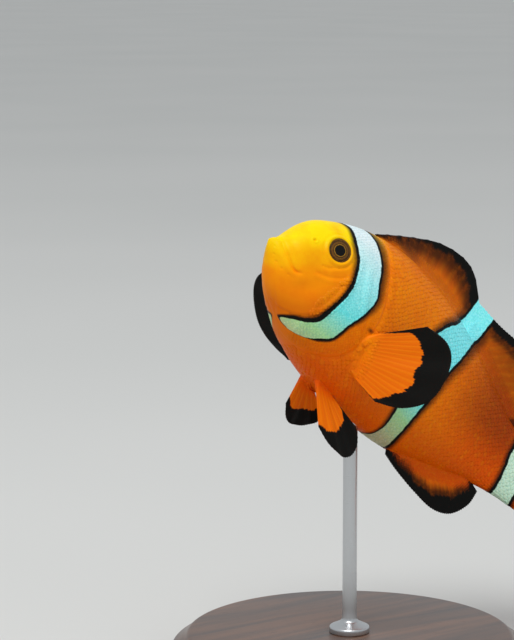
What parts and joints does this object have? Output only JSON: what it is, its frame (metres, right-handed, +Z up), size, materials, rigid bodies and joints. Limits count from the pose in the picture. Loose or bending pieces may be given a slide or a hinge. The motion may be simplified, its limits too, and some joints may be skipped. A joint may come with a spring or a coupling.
{
  "type": "clownfish",
  "caption": "Life-size clownfish (Amphiprion ocellaris) as a still model: nose raised, tail swung to its left, fins spread, held on a slim rod above a flat round base.",
  "frame": {"origin": "centre of the underside of the stand's round base", "axes": "+Z up; the fish heads towards -X, with its left side towards -Y"},
  "size_m": [0.0776, 0.06, 0.0761],
  "materials": {
    "head_skin": "moist golden orange skin over very fine scales, paling to yellow on the forehead",
    "body_skin": "moist deep orange skin with small overlapping scales and black-edged white bars",
    "fin": "orange fin membrane over raised rays, with a broad black margin",
    "eye": "wet dark brown iris with a thin gold ring round a black pupil",
    "stand_wood": "turned walnut, satin lacquer",
    "stand_steel": "fine drawn steel rod"
  },
  "bodies": {
    "root": {"head": "head_skin", "lower_jaw": "head_skin", "gill_cover_left": "head_skin", "gill_cover_right": "head_skin", "eye_left": "eye", "eye_right": "eye", "trunk": "body_skin", "tail_stalk": "body_skin", "dorsal_fin_spiny": "fin", "dorsal_fin_soft": "fin", "anal_fin": "fin", "caudal_fin": "fin", "pectoral_fin_left": "fin", "pectoral_fin_right": "fin", "pelvic_fin_left": "fin", "pelvic_fin_right": "fin", "stand_base": "stand_wood", "stand_rod": "stand_steel"}
  },
  "joints": []
}
